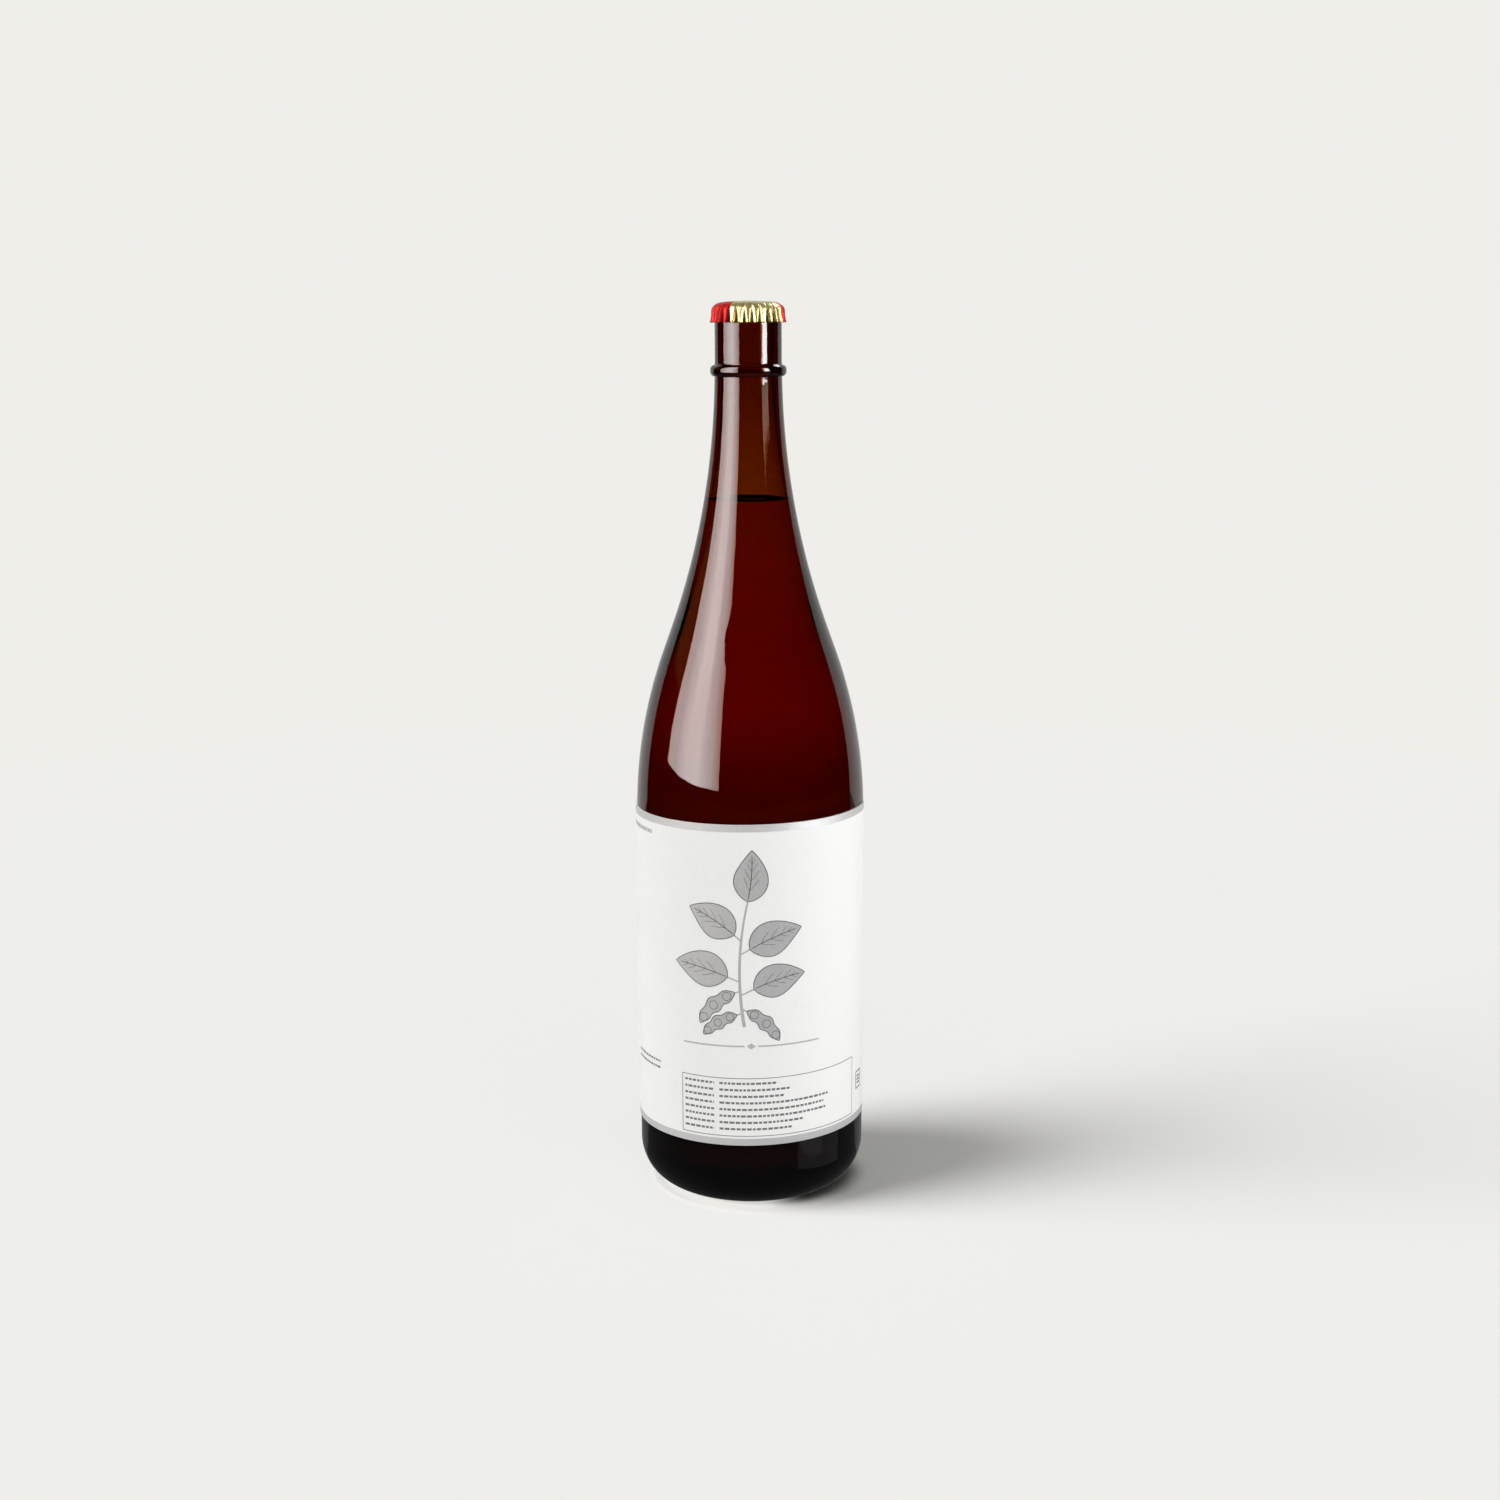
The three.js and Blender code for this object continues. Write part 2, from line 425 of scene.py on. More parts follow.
def noise(nodes, links, scale, stretch=(1, 1, 1), detail=4.0):
    """Noise in the object's own space, stretched along its axes."""
    place = nodes.new("ShaderNodeTexCoord")
    sized = nodes.new("ShaderNodeMapping")
    sized.inputs["Scale"].default_value = stretch
    texture = nodes.new("ShaderNodeTexNoise")
    texture.inputs["Scale"].default_value = scale
    texture.inputs["Detail"].default_value = detail
    links.new(place.outputs["Object"], sized.inputs["Vector"])
    links.new(sized.outputs["Vector"], texture.inputs["Vector"])
    return texture.outputs["Fac"]


def spread(nodes, links, source, low, high):
    """Maps the middle of a noise to a range of values."""
    ranged = nodes.new("ShaderNodeMapRange")
    ranged.inputs["From Min"].default_value = NOISE_MIDDLE[0]
    ranged.inputs["From Max"].default_value = NOISE_MIDDLE[1]
    ranged.inputs["To Min"].default_value = low
    ranged.inputs["To Max"].default_value = high
    links.new(source, ranged.inputs["Value"])
    return ranged.outputs["Result"]


def tinted(nodes, links, source, low, high):
    """Maps the middle of a noise to a range of colours."""
    ramp = nodes.new("ShaderNodeValToRGB")
    for tone, position, color in zip(ramp.color_ramp.elements, NOISE_MIDDLE, (low, high)):
        tone.position = position
        tone.color = (*color, 1)
    links.new(source, ramp.inputs["Fac"])
    return ramp.outputs["Color"]


def vector_math(nodes, links, operation, source, other=None):
    """One step of vector arithmetic on a socket."""
    step = nodes.new("ShaderNodeVectorMath")
    step.operation = operation
    links.new(source, step.inputs[0])
    if other:
        step.inputs[1].default_value = other
    return step


def smooth_range(nodes, links, source, start, stop):
    """Rises smoothly from 0 to 1 between two values of a socket."""
    ranged = nodes.new("ShaderNodeMapRange")
    ranged.interpolation_type = "SMOOTHSTEP"
    ranged.inputs["From Min"].default_value = start
    ranged.inputs["From Max"].default_value = stop
    links.new(source, ranged.inputs["Value"])
    return ranged.outputs["Result"]


def curved(nodes, links, source, points):
    """A value read off straight lines through points, level beyond the first and the last."""
    node = nodes.new("ShaderNodeFloatCurve")
    node.mapping.extend = "HORIZONTAL"
    line = node.mapping.curves[0]
    line.points[0].location = points[0]
    line.points[1].location = points[-1]
    for point in points[1:-1]:
        line.points.new(*point)
    for point in line.points:
        point.handle_type = "VECTOR"
    node.mapping.update()
    links.new(source, node.inputs["Value"])
    return node.outputs["Value"]


def axis(nodes, links, space, letter):
    """One coordinate of a point, in the object's own or its generated space."""
    place = nodes.new("ShaderNodeTexCoord")
    axes = nodes.new("ShaderNodeSeparateXYZ")
    links.new(place.outputs[space], axes.inputs["Vector"])
    return axes.outputs[letter]


def times(nodes, links, first, second):
    """The product of a socket and a socket or number."""
    product = nodes.new("ShaderNodeMath")
    product.operation = "MULTIPLY"
    links.new(first, product.inputs[0])
    if isinstance(second, bpy.types.NodeSocket):
        links.new(second, product.inputs[1])
    else:
        product.inputs[1].default_value = second
    return product.outputs["Value"]


def added(nodes, links, first, weight, second):
    """A weighted socket and another, added."""
    total = nodes.new("ShaderNodeMath")
    total.operation = "MULTIPLY_ADD"
    total.inputs[1].default_value = weight
    links.new(first, total.inputs[0])
    links.new(second, total.inputs[2])
    return total.outputs["Value"]


def blend(nodes, links, share, first, second):
    """A value between two, each a number or a socket."""
    mix = nodes.new("ShaderNodeMix")
    links.new(share, mix.inputs["Factor"])
    for socket, value in zip((mix.inputs[2], mix.inputs[3]), (first, second)):
        if isinstance(value, bpy.types.NodeSocket):
            links.new(value, socket)
        else:
            socket.default_value = value
    return mix.outputs["Result"]


def bumped(nodes, links, shader, source, height):
    """Raises the surface by a noise, to a height in metres."""
    bump = nodes.new("ShaderNodeBump")
    bump.inputs["Strength"].default_value = 1.0
    bump.inputs["Distance"].default_value = height
    links.new(source, bump.inputs["Height"])
    links.new(bump.outputs["Normal"], shader.inputs["Normal"])


def absorbing(material, nodes, links, color, density):
    """Fills a clear material with a colour that deepens with its thickness."""
    volume = nodes.new("ShaderNodeVolumeAbsorption")
    volume.inputs["Color"].default_value = (*color, 1)
    volume.inputs["Density"].default_value = density
    links.new(volume.outputs["Volume"], nodes["Material Output"].inputs["Volume"])
    return material


def amber_glass():
    """Clear glass that deepens to amber with its thickness, and is tinted darker as painted shade up to
    the shoulder.
    """
    material, nodes, links, shader = new_material("amber_glass", Transmission_Weight=1.0, IOR=GLASS_IOR)
    smudges = noise(nodes, links, *SMUDGE_NOISE)
    links.new(spread(nodes, links, smudges, *SMUDGED), shader.inputs["Roughness"])
    ripples = noise(nodes, links, *RIPPLE_NOISE)
    waves = noise(nodes, links, *WAVE_NOISE)
    swell = noise(nodes, links, *SWELL_NOISE)
    rippled = added(nodes, links, ripples, RIPPLES, waves)
    bumped(nodes, links, shader, added(nodes, links, swell, SWELL, rippled), WAVE_HEIGHT)
    # Painted shade: a darker tint low on the glass, fading out across the shoulder
    rise = smooth_range(nodes, links, axis(nodes, links, "Object", "Z"), *PAINTED_SHADE_TINT_TO)
    links.new(blend(nodes, links, rise, PAINTED_SHADE_TINT, CLEAR), shader.inputs["Base Color"])
    return absorbing(material, nodes, links, GLASS_COLOR, GLASS_DENSITY)


def soy_sauce():
    material, nodes, links, shader = new_material("soy_sauce", Transmission_Weight=1.0, IOR=SAUCE_IOR)
    shader.inputs["Roughness"].default_value = 0.0
    return absorbing(material, nodes, links, SAUCE_COLOR, SAUCE_DENSITY)


def sauce_film():
    """The surface of the sauce, too dark to see through at a low angle."""
    gloss = {"Specular_IOR_Level": FILM_GLOSS, "Roughness": FILM_ROUGHNESS}
    material, nodes, links, shader = new_material("sauce_film", **gloss)
    foam = noise(nodes, links, *FILM_NOISE)
    links.new(tinted(nodes, links, foam, FILM_LOW, FILM_HIGH), shader.inputs["Base Color"])
    return material


def lacquer(name, low, high, crease, metallic, gloss, roughness):
    """Printed sheet metal with a fine grain, with painted shade in the creases of its flutes and along
    its rim.
    """
    material, nodes, links, shader = new_material(name, Metallic=metallic, Specular_IOR_Level=gloss)
    # Painted shade: the crease attribute darkens the lacquer in the creases and along the rim
    pressed = nodes.new("ShaderNodeAttribute")
    pressed.attribute_name = "crease"
    mix = nodes.new("ShaderNodeMix")
    mix.data_type = "RGBA"
    links.new(smooth_range(nodes, links, pressed.outputs["Fac"], *CREASE_PAINTED_SHADE), mix.inputs["Factor"])
    tones = noise(nodes, links, *LACQUER_TONE_NOISE)
    links.new(tinted(nodes, links, tones, low, high), mix.inputs[6])
    mix.inputs[7].default_value = (*crease, 1)
    links.new(mix.outputs[2], shader.inputs["Base Color"])
    grain = noise(nodes, links, *LACQUER_GRAIN_NOISE)
    rough = spread(nodes, links, grain, roughness - LACQUER_GRAIN, roughness + LACQUER_GRAIN)
    links.new(rough, shader.inputs["Roughness"])
    bumped(nodes, links, shader, noise(nodes, links, *LACQUER_BUMP_NOISE), LACQUER_BUMP)
    return material


def paper():
    """Coated white paper with faint fibres."""
    material, nodes, links, shader = new_material("label_paper", Specular_IOR_Level=PAPER_GLOSS)
    fibres = noise(nodes, links, *FIBRE_NOISE)
    white = tinted(nodes, links, fibres, PAPER_LOW, PAPER_HIGH)
    links.new(white, shader.inputs["Base Color"])
    rough = spread(nodes, links, noise(nodes, links, *PAPER_PATCH_NOISE), *PAPER_ROUGHNESS)
    links.new(rough, shader.inputs["Roughness"])
    bumped(nodes, links, shader, fibres, PAPER_BUMP)
    return material


def ink(name, low, high, metallic, roughness):
    """Printing ink with a fine grain."""
    material, nodes, links, shader = new_material(name, Metallic=metallic, Specular_IOR_Level=INK_GLOSS)
    grain = noise(nodes, links, *INK_NOISE)
    links.new(tinted(nodes, links, grain, low, high), shader.inputs["Base Color"])
    rough = spread(nodes, links, grain, roughness - INK_GRAIN, roughness + INK_GRAIN)
    links.new(rough, shader.inputs["Roughness"])
    return material


def new_lamp(name):
    """A material that only shines."""
    material = bpy.data.materials.new(name)
    material.use_nodes = True
    nodes, links = material.node_tree.nodes, material.node_tree.links
    nodes.remove(nodes["Principled BSDF"])
    lamp = nodes.new("ShaderNodeEmission")
    links.new(lamp.outputs["Emission"], nodes["Material Output"].inputs["Surface"])
    return material, nodes, links, lamp


def window_light():
    """Light of the window: ragged along its sides, with a dim warm fringe towards the bottle's front."""
    material, nodes, links, lamp = new_lamp("window")
    flecks = noise(nodes, links, *WINDOW_NOISE)
    ragged = spread(nodes, links, flecks, -WINDOW_RAGGED, WINDOW_RAGGED)
    along = nodes.new("ShaderNodeMath")
    links.new(axis(nodes, links, "Generated", "X"), along.inputs[0])
    links.new(ragged, along.inputs[1])
    place = along.outputs["Value"]
    ramp = nodes.new("ShaderNodeValToRGB")
    tints = ramp.color_ramp.elements
    tints[0].position, tints[1].position = WINDOW_WARM_TO
    tints[0].color = (*WINDOW_WARM, 1)
    tints[1].color = (1, 1, 1, 1)
    links.new(place, ramp.inputs["Fac"])
    links.new(ramp.outputs["Color"], lamp.inputs["Color"])
    lit = times(nodes, links, curved(nodes, links, place, WINDOW_PROFILE), WINDOW_STRENGTH)
    links.new(lit, lamp.inputs["Strength"])
    return material


def glow():
    """Light of the softbox: brightest near the bottle's front, warm at its ends, faintly mottled."""
    material, nodes, links, lamp = new_lamp("softbox")
    along = axis(nodes, links, "Generated", "X")
    ramp = nodes.new("ShaderNodeValToRGB")
    tints = ramp.color_ramp.elements
    tints[0].color = (*SOFTBOX_WARM, 1)
    tints[1].color = (*SOFTBOX_WARM, 1)
    for position in SOFTBOX_TINTED:
        tints.new(position).color = (*SOFTBOX_TINT, 1)
    links.new(along, ramp.inputs["Fac"])
    links.new(ramp.outputs["Color"], lamp.inputs["Color"])
    mottle = spread(nodes, links, noise(nodes, links, *SOFTBOX_NOISE), *SOFTBOX_MOTTLE)
    lit = times(nodes, links, curved(nodes, links, along, SOFTBOX_PROFILE), SOFTBOX_STRENGTH)
    links.new(times(nodes, links, lit, mottle), lamp.inputs["Strength"])
    return material


def floor_material():
    """A pale table whose emission is painted light: an even share that keeps its shade from going dark,
    a glow round the foot on its lit side, and none next to the foot on the side turned from the light.

    It fades into the background.
    """
    material, nodes, links, shader = new_material("floor", Roughness=1.0, Specular_IOR_Level=0.0)
    cloud = noise(nodes, links, *FLOOR_NOISE)
    links.new(tinted(nodes, links, cloud, FLOOR_LOW, FLOOR_HIGH), shader.inputs["Base Color"])
    place = nodes.new("ShaderNodeTexCoord").outputs["Object"]
    away = vector_math(nodes, links, "SUBTRACT", place, FLOOR_GLOW_AT).outputs["Vector"]
    distance = vector_math(nodes, links, "LENGTH", away).outputs["Value"]
    heading = vector_math(nodes, links, "NORMALIZE", away).outputs["Vector"]
    facing = vector_math(nodes, links, "DOT_PRODUCT", heading, FLOOR_LIT_FROM).outputs["Value"]
    ring = curved(nodes, links, distance, FLOOR_GLOW)
    glowing = times(nodes, links, ring, smooth_range(nodes, links, facing, *FLOOR_LIT))
    shader.inputs["Emission Color"].default_value = (*BACKGROUND, 1)
    unshaded = nodes.new("ShaderNodeMath")
    unshaded.inputs[1].default_value = FLOOR_UNSHADED
    links.new(glowing, unshaded.inputs[0])
    turned_away = vector_math(nodes, links, "DOT_PRODUCT", heading, FLOOR_SHADED_TO).outputs["Value"]
    near = smooth_range(nodes, links, distance, *FLOOR_CONTACT)
    contact = times(nodes, links, near, smooth_range(nodes, links, turned_away, *FLOOR_SHADED))
    lit = blend(nodes, links, contact, unshaded.outputs["Value"], 0.0)
    links.new(lit, shader.inputs["Emission Strength"])
    far = nodes.new("ShaderNodeEmission")
    far.inputs["Color"].default_value = (*BACKGROUND, 1)
    fading = nodes.new("ShaderNodeMixShader")
    links.new(smooth_range(nodes, links, distance, *FLOOR_FADE), fading.inputs["Fac"])
    links.new(shader.outputs["BSDF"], fading.inputs[1])
    links.new(far.outputs["Emission"], fading.inputs[2])
    links.new(fading.outputs["Shader"], nodes["Material Output"].inputs["Surface"])
    return material


# Pieces


def make_bottle():
    """The glass: an outline up its outside and down its inside, turned about the axis."""
    foot_r = BODY_R - HEEL_WIDTH
    ring_low, ring_high = RING_Z - RING_FLAT / 2, RING_Z + RING_FLAT / 2
    ring_out = RING_R - FINISH_R
    fillet = ring_out * math.cos(RING_CORNER)
    fillet_z = ring_high + RING_BEVEL * math.sin(RING_CORNER) + fillet
    lip_z = MOUTH_Z - LIP_ROUND
    outline = [
        (0, PUSH_UP),
        *arc(0, 0, foot_r - FOOT_WIDTH, PUSH_UP, PUSH_UP_FROM, 0, SMALL_STEPS),
        *arc(foot_r, HEEL_HEIGHT, HEEL_WIDTH, HEEL_HEIGHT, -QUARTER, 0, HEEL_STEPS),
        *up_to(ring_low - RING_BEVEL, flank(0, NECK_R, FLANK_STEPS)),
        *arc(FINISH_R, ring_low, ring_out, RING_BEVEL, -RING_CORNER, 0, RING_STEPS),
        *arc(FINISH_R, ring_high, ring_out, RING_BEVEL, 0, RING_CORNER, RING_STEPS),
        *arc(FINISH_R + fillet, fillet_z, fillet, fillet, -QUARTER, -math.pi, SMALL_STEPS),
        (FINISH_R, fillet_z + EDGE),
        (FINISH_R, lip_z - EDGE),
        *arc(FINISH_R - LIP_ROUND, lip_z, LIP_ROUND, LIP_ROUND, 0, QUARTER, SMALL_STEPS),
        (BORE_R, MOUTH_Z - LIP_SLOPE),
        *reversed(inside(0, INSIDE_STEPS)),
    ]
    piece = new_piece("glass_bottle", *turned(outline, GLASS_SIDES), [amber_glass()])
    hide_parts("bottle")


def make_sauce():
    """The sauce, with a raised edge round its surface."""
    top_z = LEVEL_Z + MENISCUS
    wall = up_to(top_z, inside(-INTO_WALL, INSIDE_STEPS))
    flat_r = wall[-1][0] - INTO_WALL - MENISCUS_WIDTH
    surface = arc(flat_r, top_z, MENISCUS_WIDTH, MENISCUS, 0, -QUARTER, SMALL_STEPS)
    outline = [*wall, *surface, (0, LEVEL_Z)]
    piece = new_piece("sauce", *turned(outline, GLASS_SIDES), [soy_sauce(), sauce_film()])
    for face in piece.data.polygons[(len(wall) - 1) * GLASS_SIDES:]:
        face.material_index = 1
    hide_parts("soy_sauce")


def front_angle(x, y):
    """Degrees round the bottle from its front, positive towards +X."""
    return math.degrees(math.atan2(x, -y))


def is_red(x, y):
    """Whether a place on the cap lies in one of its red fields."""
    turns = [(front_angle(x, y) - start) % 360 for start in CAP_RED_FROM]
    return math.hypot(x, y) > CAP_DISC_R and min(turns) < CAP_RED_SPAN


def flute(point):
    """How far down the skirt a point lies, and how near to a crease, which widens to the rim."""
    x, y, z = point
    drop = max(0, FLUTE_TOP - z) / (FLUTE_TOP - CAP_LOW.z)
    off_crease = abs(2 * (FLUTES * math.atan2(y, x) / (2 * math.pi) % 1) - 1)
    width = CREASE_WIDTH + CREASE_WIDENS * drop
    return drop, max(0, 1 - off_crease / width) * drop ** CREASE_FADE


def fluted(point):
    """Presses the flutes into a point of the turned cap."""
    x, y, z = point
    _, press = flute(point)
    keep = 1 - FLUTE_DEPTH * press / max(math.hypot(x, y), CAP_FACE_R)
    return x * keep, y * keep, z


def shaded(point):
    """How much painted shade a point of the cap gets: in the creases, and along the rim."""
    drop, press = flute(point)
    return max(press, (drop - RIM_PAINTED_SHADE_FROM) / (1 - RIM_PAINTED_SHADE_FROM))


def make_cap():
    """The cap: a thin turned sheet with flutes pressed in, red fields on its gold, and painted shade in
    its creases and along its rim.
    """
    face_z = CAP_HIGH.z - CAP_DOME
    shoulder_z = face_z - CAP_SHOULDER
    width = CAP_SKIRT_R - CAP_FACE_R
    downs = np.linspace(SKIRT_FROM, 1, SKIRT_ROWS)
    skirt = [(t * t, shoulder_z + (CAP_LOW.z - shoulder_z) * t) for t in downs]
    flare = CAP_HIGH.x - CAP_SKIRT_R
    outer = [(CAP_SKIRT_R + flare * t, z) for t, z in skirt]
    inner = [(r - CAP_SHEET, z) for r, z in outer]
    thin_w, thin_h = width - CAP_SHEET, CAP_SHOULDER - CAP_SHEET
    outline = [
        (0, CAP_HIGH.z - CAP_SHEET),
        *arc(CAP_FACE_R, shoulder_z, thin_w, thin_h, QUARTER, 0, CAP_INNER_STEPS),
        *inner,
        *reversed(outer),
        *arc(CAP_FACE_R, shoulder_z, width, CAP_SHOULDER, 0, QUARTER, CAP_STEPS),
        (CAP_DISC_R, face_z + CAP_DOME / 3),
        (0, CAP_HIGH.z),
    ]
    points, faces = turned(outline, FLUTES * SIDES_PER_FLUTE)
    lacquers = [lacquer("gold_lacquer", *GOLD), lacquer("red_lacquer", *RED)]
    piece = new_piece("cap", [fluted(p) for p in points], faces, lacquers, CAP_SHARP)
    # Painted shade in the creases and along the rim, kept as an attribute for the lacquer
    crease = piece.data.attributes.new("crease", "FLOAT", "POINT")
    crease.data.foreach_set("value", [shaded(p) for p in points])
    for face in piece.data.polygons:
        face.material_index = int(is_red(face.center.x, face.center.y))
    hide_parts("crown_cap")


def on_body(along, z, r):
    """A point at a length round the bottle and a height, on the skewed label."""
    angle = along / LABEL_R
    return r * math.sin(angle), -r * math.cos(angle), z + along * LABEL_SKEW


def bent_sheet(name, start, stop, low, high, inner_r, outer_r, material):
    """A thin sheet round the body, swept from its rectangular section."""
    points, faces = [], []
    for along in np.linspace(start, stop, LABEL_STEPS + 1):
        points += [on_body(along, z, r) for r, z in
                   ((inner_r, low), (outer_r, low), (outer_r, high), (inner_r, high))]
    for step in range(LABEL_STEPS):
        a, b = 4 * step, 4 * step + 4
        faces += [(a + i, b + i, b + (i + 1) % 4, a + (i + 1) % 4) for i in range(4)]
    end = 4 * LABEL_STEPS
    faces += [(0, 1, 2, 3), (end + 3, end + 2, end + 1, end)]
    return new_piece(name, points, faces, [material], LABEL_SHARP)


def strip(line, half_widths, across=4):
    """Vertices and faces of a flat ribbon about a line on the label."""
    line = np.array(line)
    course = np.gradient(line, axis=0)
    course /= np.linalg.norm(course, axis=1)[:, None]
    side = np.stack([-course[:, 1], course[:, 0]], axis=1)
    shares = np.linspace(-1, 1, across + 1)[:, None]
    reach = np.broadcast_to(half_widths, len(line))[:, None, None] * shares
    rows = line[:, None] + side[:, None] * reach
    width = across + 1
    faces = [
        (i * width + k + 1, i * width + k, (i + 1) * width + k, (i + 1) * width + k + 1)
        for i in range(len(line) - 1)
        for k in range(across)
    ]
    return rows.reshape(-1, 2), faces


def make_print(name, strips, material, lift):
    """One printed piece of many ribbons, bent on to the label."""
    points, faces = [], []
    for flat, quads in strips:
        first = len(points)
        points += [on_body(along, z, LABEL_R + lift) for along, z in flat]
        faces += [tuple(first + i for i in quad) for quad in quads]
    piece = new_piece(name, points, faces, [material])
    return piece


def bar(start, stop, z, half_height):
    """A straight bar of print."""
    steps = max(2, int(abs(stop - start) / MM) + 1)
    line = [(along, z) for along in np.linspace(start, stop, steps)]
    return strip(line, half_height, 1)


def upright(along, low, high, half_width):
    """A straight upright line of print."""
    return strip([(along, z) for z in np.linspace(low, high, UPRIGHT_STEPS)], half_width, 1)


def sweep(base, heading, bend, length, steps=STEM_STEPS):
    """A line that starts at a point with a heading and bends evenly."""
    headings = np.radians(heading + bend * np.linspace(0, 1, steps))
    moves = np.stack([np.cos(headings), np.sin(headings)], axis=1) * length / steps
    return np.array(base) + np.cumsum(moves, axis=0) - moves[0]


def closed_outline(line, half_widths):
    """The edge of a ribbon as one line."""
    flat, _ = strip(line, half_widths, 1)
    left, right = flat[0::2], flat[1::2]
    return np.concatenate([left, right[::-1], left[:1]])


def leaf(base, heading, bend, length, half_width):
    """A leaf on the label: its fill, and its edge and veins as lines."""
    line = sweep(base, heading, bend, length)
    t = np.linspace(0, 1, len(line))
    widths = half_width * np.sin(math.pi * t ** LEAF_BELLY) ** LEAF_TAPER + HAIR
    marks = [strip(closed_outline(line, widths), OUTLINE, 1), strip(line[1:-3], OUTLINE, 1)]
    for i in LEAF_VEINS:
        course = line[i + 1] - line[i]
        along = math.degrees(math.atan2(course[1], course[0]))
        for lean in (VEIN_LEAN, -VEIN_LEAN):
            vein = sweep(line[i], along + lean, VEIN_BEND * lean, widths[i + VEIN_AHEAD], TWIG_STEPS)
            marks.append(strip(vein, OUTLINE / 2, 1))
    return strip(line, widths), marks


def pod(base, heading, bend, length, half_width):
    """A pod of three beans on the label."""
    line = sweep(base, heading, bend, length, POD_STEPS)
    t = np.linspace(0, 1, len(line))
    beans = 1 - POD_WAIST - POD_WAIST * np.cos(2 * len(POD_BEANS) * math.pi * t)
    widths = half_width * np.sin(math.pi * t ** POD_BELLY) ** POD_TAPER * beans + HAIR
    marks = [strip(closed_outline(line, widths), OUTLINE, 1)]
    turn = np.linspace(0, 2 * math.pi, BEAN_STEPS)
    circle = BEAN_R * half_width * np.stack([np.cos(turn), np.sin(turn)], axis=1)
    marks += [strip(line[i] + circle, BEAN_LINE, 1) for i in POD_BEANS]
    return strip(line, widths), marks


def sprig():
    """A soybean plant with leaves and pods: ribbons of fill and of line."""
    stem = sweep(STEM_FOOT, STEM_HEADING, STEM_BEND, STEM_LENGTH)
    fills, lines = [strip(stem, np.linspace(*STEM_HALF, len(stem)) * MM, 2)], []
    for make, share, heading, bend, stalk, length, half_width in SPRIG:
        foot = stem[int(share * (len(stem) - 1))]
        twig = sweep(foot, heading, 0, stalk * MM, TWIG_STEPS)
        fill, marks = make(twig[-1], heading, bend, length * MM, half_width * MM)
        fills += [strip(twig, TWIG_HALF, 1), fill]
        lines += marks
    return fills, lines


# What grows on the stem: kind, place on the stem, heading, bend, stalk, length, half width
SPRIG = (
    (leaf, 1.00, 78, 14, 2, 24, 7.6),
    (leaf, 0.74, 138, 24, 5, 25, 7.6),
    (leaf, 0.62, 30, -18, 6, 26, 7.8),
    (leaf, 0.40, 158, 20, 7, 27, 8.0),
    (leaf, 0.26, 26, -22, 8, 25, 7.4),
    (pod, 0.30, 200, 44, 3, 23, 3.7),
    (pod, 0.14, 195, 34, 3, 19, 3.3),
    (pod, 0.16, -24, -40, 3, 21, 3.5),
)


def text_row(draw, start, stop, z, half_height, share=1.0):
    """A row of short bars that stands for small print."""
    bars, along = [], start
    stop = start + (stop - start) * share
    while along < stop:
        length = draw.uniform(*TEXT_WORD) * MM
        bars.append(bar(along, min(along + length, stop), z, half_height))
        along += length + TEXT_SPACE
    return bars


def framed(low_s, high_s, low_z, high_z, half_line):
    """A rectangle of thin lines."""
    return [
        bar(low_s, high_s, low_z, half_line),
        bar(low_s, high_s, high_z, half_line),
        upright(low_s, low_z, high_z, half_line),
        upright(high_s, low_z, high_z, half_line),
    ]


def small_print():
    """A framed panel of rows, two short rows near the left side, and a small framed sign."""
    draw = random.Random(TEXT_SEED)
    rows = framed(*TEXT_FRAME, TEXT_FRAME_LINE)
    for i in range(TEXT_ROWS):
        z = (TEXT_TOP - TEXT_PITCH * i) * MM
        rows += text_row(draw, *TEXT_NAMES, z, TEXT_HALF)
        rows += text_row(draw, *TEXT_LINES, z, TEXT_HALF, draw.uniform(*TEXT_FILLED))
    for z in SIDE_ROWS:
        rows += text_row(draw, SIDE_FROM, SIDE_TO, z, TEXT_HALF)
    rows += framed(*SIGN_FRAME, SIGN_FRAME_LINE)
    rows += [bar(SIGN_FROM, SIGN_TO, z, SIGN_HALF) for z in SIGN_ROWS]
    return rows


def grey_print():
    """A ruled line with a diamond under the picture, and a short row near the top."""
    rules = [
        bar(-RULE_TO, -RULE_FROM, RULE_Z, RULE_HALF),
        bar(RULE_FROM, RULE_TO, RULE_Z, RULE_HALF),
        strip([(along, RULE_Z) for along in DIAMOND], [0, DIAMOND_HALF, 0], 2),
    ]
    return rules + text_row(random.Random(TOP_ROW_SEED), *TOP_ROW)


def make_label():
    """The sheet and its print. Returns the bands, which have a lamp of their own."""
    edges = (LABEL_FROM, LABEL_TO, LABEL_BOTTOM, LABEL_TOP)
    sheet = bent_sheet("label_sheet", *edges, LABEL_BACK_R, LABEL_R, paper())
    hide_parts("label")
    half = BAND / 2
    stripes = [bar(LABEL_FROM, LABEL_TO, z, half) for z in (LABEL_BOTTOM + half, LABEL_TOP - half)]
    fills, lines = sprig()
    bands = make_print("label_bands", stripes, ink("silver_band", *SILVER_BAND), INK_LIFT)
    make_print("label_motif", fills, ink("silver_ink", *SILVER_INK), INK_LIFT)
    make_print("label_rules", grey_print(), ink("grey_ink", *GREY_INK), INK_LIFT)
    make_print("label_outlines", lines, ink("dark_ink", *DARK_INK), 2 * INK_LIFT)
    make_print("label_small_print", small_print(), ink("fine_ink", *FINE_INK), INK_LIFT)
    return bands


# Studio


def towards(azimuth, elevation):
    """Unit vector from the bottle at an azimuth from its front, positive towards +X."""
    a, e = math.radians(azimuth), math.radians(elevation)
    return Vector((math.sin(a) * math.cos(e), -math.cos(a) * math.cos(e), math.sin(e)))


def add_light(name, light):
    lamp = bpy.data.objects.new(name, light)
    bpy.context.collection.objects.link(lamp)
    return lamp


